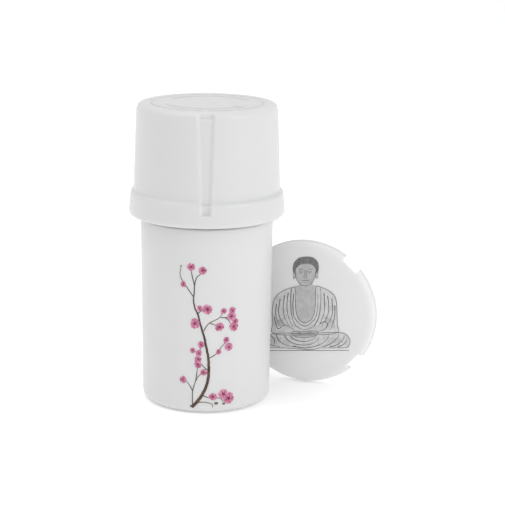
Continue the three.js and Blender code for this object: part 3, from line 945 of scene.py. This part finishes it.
def make_twig(bark, green, petal, heart):
    """A printed twig of five-petalled blossoms up the front of the vial."""
    chance = random.Random(11)
    films = TWIG_FILMS
    stems, twigs, petals, hearts = (Print(on_vial, INK_SUNK) for _ in range(4))
    stem = spline(TWIG_STEM, 6)
    wavy = [p + Vector((chance.uniform(-0.06, 0.06), chance.uniform(-0.04, 0.04))) for p in stem]
    stems.stroke(wavy, 1.15, 0.25, films["stem"])
    stems.shape(oval(-4.9, 1.9, 0.75, 0.4), films["knot"])
    for branch in TWIG_BRANCHES:
        twigs.stroke(spline(branch, 5), 0.36, 0.2, films["branch"])
    for x, y, radius in TWIG_BUDS:
        twigs.shape(oval(x, y, radius, radius * 0.6, 10), films["bud"])
    for number, (x, y, radius) in enumerate(TWIG_BLOSSOMS):
        middle = Vector((x, y))
        first = chance.uniform(0, TURN / PETALS)
        for k in range(PETALS):
            size = radius * chance.uniform(1.0, 1.22)
            turn = Matrix.Rotation(first + TURN * k / PETALS + chance.uniform(-0.12, 0.12), 2)
            outline = [middle + turn @ (Vector(p) * size) for p in spline(PETAL_OUTLINE, 2)]
            petals.shape(outline, films["petal"] + NEXT_PETAL * k + NEXT_BLOSSOM * number)
            vein = [middle + turn @ Vector((size * reach, 0)) for reach in (0.1, 0.35, 0.62)]
            height = films["vein"] + NEXT_VEIN * k
            hearts.stroke(vein, 0.34 * radius, 0.08 * radius, height)
            tip = middle + turn @ Vector((size * 0.62, size * 0.16))
            hearts.shape(oval(*tip, 0.09 * radius, 0.09 * radius, 6), films["vein"])
        hearts.shape(oval(x, y, 0.3 * radius, 0.3 * radius, 10), films["heart"])
    stems.finish("twig_stem", bark, "vial_white", "vial")
    twigs.finish("twig_branches", green, "vial_white", "vial")
    petals.finish("twig_petals", petal, "vial_white", "vial")
    hearts.finish("twig_hearts", heart, "vial_white", "vial")


# ------------------------------------------------------------------ the seated figure
FIGURE_LEAN = 0.07
FIGURE_SLOPE = 0.052
FIGURE_RIGHT = -0.5
FIGURE_RISE = 1.0
FIGURE_FLOOR = -15.0
FIGURE_FILMS = {
    "ground": 0.02,
    "chest": 0.03,
    "ear": 0.032,
    "legs": 0.035,
    "face": 0.04,
    "robe": 0.05,
    "hair": 0.06,
    "hands": 0.065,
    "edges": 0.07,
    "folds": 0.072,
    "hatching": 0.073,
    "features": 0.075,
    "details": 0.08,
}
ROBE = [(-4.3, 8.7), (-6.2, 8.2), (-9.0, 7.0), (-11.3, 5.1), (-12.3, 2.4), (-12.5, -1.0)]
ROBE += [(-12.2, -5.0), (-11.7, -8.8), (0.0, -9.4), (11.9, -8.8), (12.1, -5.6), (11.9, -1.8)]
ROBE += [(11.6, 2.3), (10.7, 5.1), (8.7, 6.9), (5.8, 8.3), (4.0, 8.7), (3.6, 6.4), (3.7, 2.2)]
ROBE += [(3.4, -1.2), (2.2, -3.8), (0.0, -4.8), (-2.0, -3.9), (-3.3, -1.2), (-3.8, 2.4)]
ROBE += [(-3.8, 6.4)]
CHEST = [(-2.5, 11.0), (-2.6, 9.2), (-4.4, 8.4), (-4.4, 1.0), (-2.6, -4.6), (0.0, -5.4)]
CHEST += [(2.6, -4.6), (4.2, 1.0), (4.2, 8.4), (2.4, 9.2), (2.3, 11.0)]
LEGS = [(-13.8, -14.2), (-14.6, -12.6), (-14.0, -10.4), (-12.2, -8.9), (-8.0, -8.6), (0.0, -8.9)]
LEGS += [(8.0, -8.6), (13.2, -8.6), (15.7, -9.5), (17.1, -11.7), (16.6, -13.6), (15.2, -14.3)]
LEGS += [(6.0, -14.4), (2.4, -15.0), (-2.0, -14.7), (-8.0, -14.3)]
HANDS = [(-4.9, -8.2), (-2.6, -7.9), (0.0, -8.1), (2.8, -7.9), (5.1, -8.2), (4.3, -9.6)]
HANDS += [(1.8, -10.3), (-1.8, -10.3), (-4.1, -9.6)]
HEAD_X = -0.3
HEAD_TOP = 19.8
CHIN = 9.0
EYE_LINE = (HEAD_TOP + CHIN) / 2
FACE_TOP = 18.4
FACE_SIDE = [(1.5, 9.35), (2.9, 10.8), (3.8, 13.0), (3.9, 15.4), (3.0, 17.6)]
HAIR = [(-4.3, 13.4), (-4.9, 15.6), (-4.3, 17.9), (-2.5, 19.4), (0.0, 19.8), (2.5, 19.4)]
HAIR += [(4.3, 17.9), (4.9, 15.6), (4.3, 13.4), (3.7, 15.2), (2.3, 16.7), (0.0, 17.2)]
HAIR += [(-2.3, 16.7), (-3.7, 15.2)]
FOLDS = [
    [(-5.5, 8.1), (-5.6, 3.0), (-5.0, -2.2), (-3.4, -5.9), (0.2, -7.4), (3.6, -6.0)],
    [(3.6, -6.0), (5.2, -2.4), (5.7, 3.0), (5.5, 8.1)],
    [(-4.6, 6.0), (-4.7, 1.0), (-3.8, -3.2), (0.0, -6.1), (3.7, -3.2), (4.6, 1.0), (4.5, 6.0)],
    [(-6.6, 6.6), (-7.0, 2.0), (-6.4, -2.2), (-4.6, -6.2)],
    [(-8.0, 5.6), (-8.4, 1.0), (-7.8, -2.6), (-6.0, -5.9)],
    [(-9.6, 4.4), (-10.1, -0.4), (-9.2, -3.6), (-7.4, -5.8)],
    [(-11.0, 2.4), (-11.2, -1.4), (-10.4, -4.2), (-9.0, -6.4)],
    [(-11.8, -2.4), (-11.0, -5.2), (-10.0, -7.0), (-7.6, -5.6), (-5.0, -6.8), (-3.8, -7.8)],
    [(6.8, 6.2), (7.2, 1.4), (6.8, -2.4), (5.2, -6.2)],
    [(8.2, 5.2), (8.8, 0.8), (8.2, -2.8), (6.2, -6.4)],
    [(9.8, 4.0), (10.2, -0.6), (9.6, -3.4), (7.8, -6.8)],
    [(11.0, 1.6), (11.1, -2.2), (10.6, -5.0), (9.6, -7.6)],
    [(5.6, -5.4), (7.4, -4.4), (8.6, -5.6), (7.4, -7.4), (5.0, -7.9)],
    [(-12.8, -9.6), (-11.4, -11.2), (-11.8, -13.4)],
    [(-10.8, -9.2), (-9.6, -11.6), (-6.8, -13.2), (-3.2, -14.0)],
    [(-7.8, -9.2), (-6.2, -11.4), (-3.4, -12.8), (0.6, -13.2), (4.0, -12.2), (5.6, -10.2)],
    [(-5.4, -9.8), (-3.6, -11.2), (0.0, -11.9), (3.2, -11.0), (4.4, -9.8)],
    [(-4.2, -13.6), (0.4, -14.3), (5.0, -13.4), (8.2, -11.4), (9.2, -9.2)],
    [(7.0, -13.9), (10.2, -12.6), (12.2, -10.6), (12.8, -9.2)],
    [(9.6, -14.0), (12.6, -13.0), (14.4, -11.2), (15.0, -9.6)],
    [(12.6, -14.0), (14.8, -13.0), (16.2, -11.2)],
    [(-13.9, -12.2), (-12.4, -13.2), (-9.4, -13.8)],
]
FACE_LINES = [
    ([(-2.5, 0.5), (-1.6, 0.85), (-0.8, 0.6)], 0.2),
    ([(-2.3, -0.1), (-1.6, -0.35), (-0.85, -0.1)], 0.24),
    ([(-2.1, -0.6), (-1.6, -0.75), (-1.1, -0.6)], 0.1),
    ([(-0.35, 0.5), (-0.25, -1.2), (-0.62, -2.2), (-0.3, -2.5), (0.0, -2.6)], 0.14),
    ([(-1.15, -3.5), (-0.4, -3.4), (0.0, -3.52)], 0.22),
    ([(-0.6, -4.05), (0.0, -4.2)], 0.14),
]
CURL_ROWS = 5
HATCHES = 9
HATCH_WIDTHS = (0.09, 0.05)


def on_figure(x, y, height):
    """A point of the printed figure, which stands level although the disc is turned."""
    right = x + FIGURE_LEAN * (y - FIGURE_FLOOR) + FIGURE_RIGHT
    return on_cover(right, y + FIGURE_SLOPE * x + FIGURE_RISE, height)


def make_figure(robe, skin, hair, line, chalk):
    """A printed seated figure in a loose robe, calm and facing forward, on the cover."""
    films = FIGURE_FILMS
    robes, skins, hairs, lines, ground = (Print(on_figure, INK_SUNK) for _ in range(5))
    for pen, y, width in ((ground, -14.7, 0.5), (lines, -15.25, 0.22)):
        pen.stroke([(-14.6, y), (0.0, y), (16.8, y)], width, width, films["ground"])
    skins.shape(spline(CHEST, 4, closed=True), films["chest"])
    for side in (-1, 1):
        ear = oval(HEAD_X + side * 4.25, EYE_LINE - 1.1, 0.55, 1.7)
        skins.shape(ear, films["ear"])
        edge = ear[2:15] if side > 0 else ear[10:] + ear[:7]
        lines.stroke(spline(edge, 2), 0.12, 0.12, films["edges"])
    face = [(HEAD_X, CHIN)]
    face += [(HEAD_X + x, y) for x, y in FACE_SIDE]
    face += [(HEAD_X, FACE_TOP)]
    face += [(HEAD_X - x, y) for x, y in reversed(FACE_SIDE)]
    skins.shape(spline(face, 4, closed=True), films["face"])
    lines.stroke(spline(face[7:] + face[:6], 4), 0.16, 0.16, films["edges"])
    hairs.shape([(x + HEAD_X, y) for x, y in spline(HAIR, 4, closed=True)], films["hair"])
    for row in range(CURL_ROWS):
        reach = 4.4 - 0.5 * row
        curls = 9 - row
        for k in range(curls):
            x = HEAD_X + reach * (2 * k / (curls - 1) - 1) * 0.86
            y = 15.9 + 0.85 * row + 1.1 * (1 - ((x - HEAD_X) / 4.9) ** 2)
            if y < HEAD_TOP - 0.5:
                curl = spline([(x - 0.25, y), (x, y + 0.2), (x + 0.25, y)], 3)
                lines.stroke(curl, 0.1, 0.1, films["details"])
    for stroke, width in FACE_LINES:
        for side in (-1, 1):
            path = [(HEAD_X - side * x, EYE_LINE + y) for x, y in stroke]
            lines.stroke(spline(path, 4), width, width * 0.6, films["features"])
    robes.shape(spline(LEGS, 4, closed=True), films["legs"])
    robes.shape(spline(ROBE, 4, closed=True), films["robe"])
    skins.shape(spline(HANDS, 4, closed=True), films["hands"])
    lines.stroke(spline([*HANDS, HANDS[0]], 4), 0.18, 0.18, films["details"])
    for x in (-3.2, -2.2, 2.4, 3.4):
        finger = [(x, -8.5), (x * 0.72, -9.2), (x * 0.55, -9.9)]
        lines.stroke(finger, 0.12, 0.08, films["details"])
    thumbs = spline([(-2.6, -8.3), (-0.6, -8.9), (0.6, -8.9), (2.6, -8.3)], 4)
    lines.stroke(thumbs, 0.18, 0.12, films["details"])
    for outline in (LEGS, ROBE):
        closed = spline([*outline, outline[0]], 4)
        lines.stroke(closed, 0.2, 0.2, films["edges"])
    for fold in FOLDS:
        lines.stroke(spline(fold, 6), 0.34, 0.12, films["folds"])
    for k in range(HATCHES):
        x = 8.4 + 0.62 * k
        low = -2.5 - 0.2 * k
        hatches = [
            [(x, -10.0 - 0.1 * k), (x + 1.0, -12.6)],
            [(-x - 0.6, -10.2), (-x - 1.2, -12.8)],
            [(7.6 + 0.4 * k, low), (7.9 + 0.42 * k, low - 3.2)],
            [(-7.9 - 0.42 * k, low), (-8.2 - 0.4 * k, low - 2.8)],
        ]
        for hatch in hatches:
            lines.stroke(hatch, *HATCH_WIDTHS, films["hatching"])
    robes.finish("figure_robe", robe, "cover_white", "cover")
    skins.finish("figure_skin", skin, "cover_white", "cover")
    hairs.finish("figure_hair", hair, "cover_white", "cover")
    lines.finish("figure_lines", line, "cover_white", "cover")
    ground.finish("figure_ground", chalk, "cover_white", "cover")


# ------------------------------------------------------------------ the cap's moulded relief
RELIEF_SUNK = 0.1
RING_RADIUS = 19.0
RING_WIDTH = 0.6
RING_ARC = 86
ARROW_RADIUS = 14.6
ARROW_WIDTH = 1.1
ARROW_ARC = 112
ARROW_HEAD_HALF = 2.0
ARROW_HEAD_ARCS = (114, 128)


def on_cap(x, y, height):
    """A point on the cap's top."""
    return Vector((x, y, CAP_TOP - RELIEF + height))


def arc_points(radius, start, end, count):
    """Points along an arc about the middle, angles in degrees."""
    points = []
    for k in range(count + 1):
        angle = math.radians(lerp(start, end, k / count))
        points.append(Vector((radius * math.cos(angle), radius * math.sin(angle))))
    return points


def make_relief(material):
    """Two turning arrows inside a broken ring, raised a little."""
    relief = Print(on_cap, RELIEF_SUNK)
    for start in range(0, 360, 90):
        ring = arc_points(RING_RADIUS, start, start + RING_ARC, 30)
        relief.stroke(ring, RING_WIDTH, RING_WIDTH, RELIEF)
    for start in (20, 200):
        shaft = arc_points(ARROW_RADIUS, start, start + ARROW_ARC, 40)
        relief.stroke(shaft, ARROW_WIDTH, ARROW_WIDTH, RELIEF)
        root, tip = arc_points(1, *(start + arc for arc in ARROW_HEAD_ARCS), 1)
        inner, outer = ARROW_RADIUS - ARROW_HEAD_HALF, ARROW_RADIUS + ARROW_HEAD_HALF
        relief.shape([root * inner, root * outer, tip * ARROW_RADIUS], RELIEF)
    relief.finish("cap_relief", material, "cap_white", "cap")


# ------------------------------------------------------------------ scene
make_camera()
make_studio()

vial_plastic = moulded_plastic("vial_polypropylene", (0.64, 0.64, 0.643), 0.38, 0.35)
cap_plastic = moulded_plastic("cap_polypropylene", (0.63, 0.63, 0.633), 0.34, 0.35)
inner_plastic = moulded_plastic("inner_polypropylene", (0.62, 0.623, 0.63), 0.42, 0.1)
cover_plastic = moulded_plastic("cover_polypropylene", (0.7, 0.705, 0.703), 0.36, 0.3)
seal_rubber = soft_elastomer("seal_elastomer", (0.58, 0.58, 0.55))
bark_ink = printing_ink("bark_ink", (0.022, 0.01, 0.006), (0.1, 0.05, 0.028), 500)
twig_ink = printing_ink("twig_ink", (0.06, 0.045, 0.028), (0.15, 0.12, 0.08), 500)
petal_ink = printing_ink("petal_ink", (0.38, 0.08, 0.17), (0.64, 0.25, 0.4), 900)
heart_ink = printing_ink("heart_ink", (0.1, 0.01, 0.04), (0.22, 0.03, 0.09), 900)
robe_ink = printing_ink("robe_ink", (0.5, 0.5, 0.5), (0.64, 0.64, 0.64), 500)
skin_ink = printing_ink("skin_ink", (0.4, 0.4, 0.4), (0.5, 0.5, 0.5), 500)
hair_ink = printing_ink("hair_ink", (0.12, 0.12, 0.12), (0.2, 0.2, 0.2), 900)
line_ink = printing_ink("line_ink", (0.07, 0.07, 0.07), (0.13, 0.13, 0.13), 900)
chalk_ink = printing_ink("chalk_ink", (0.74, 0.74, 0.74), (0.82, 0.82, 0.82), 900)

make_vial(vial_plastic)
make_cap(cap_plastic)
make_relief(cap_plastic)
make_cover(cover_plastic)
make_twig(bark_ink, twig_ink, petal_ink, heart_ink)
make_figure(robe_ink, skin_ink, hair_ink, line_ink, chalk_ink)

INNER_BEVEL = 0.12
WELD_DISTANCE = 1e-6
inner_materials = {
    "threaded_collar": inner_plastic,
    "lower_crusher": inner_plastic,
    "upper_crusher": inner_plastic,
    "retaining_ring": inner_plastic,
    "wave_spring": inner_plastic,
    "seal_ring": seal_rubber,
    "rotor_seal": seal_rubber,
}
for node, material in inner_materials.items():
    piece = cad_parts[node]
    piece.data.materials.clear()
    piece.data.materials.append(material)
    piece.data.shade_smooth()
    weld = piece.modifiers.new("weld", "WELD")
    weld.merge_threshold = WELD_DISTANCE
    edges = piece.modifiers.new("edges", "BEVEL")
    edges.width = INNER_BEVEL * MM
    edges.segments = 2
    edges.limit_method = "ANGLE"
    edges.angle_limit = math.radians(32)
    piece.modifiers.new("shading", "WEIGHTED_NORMAL")
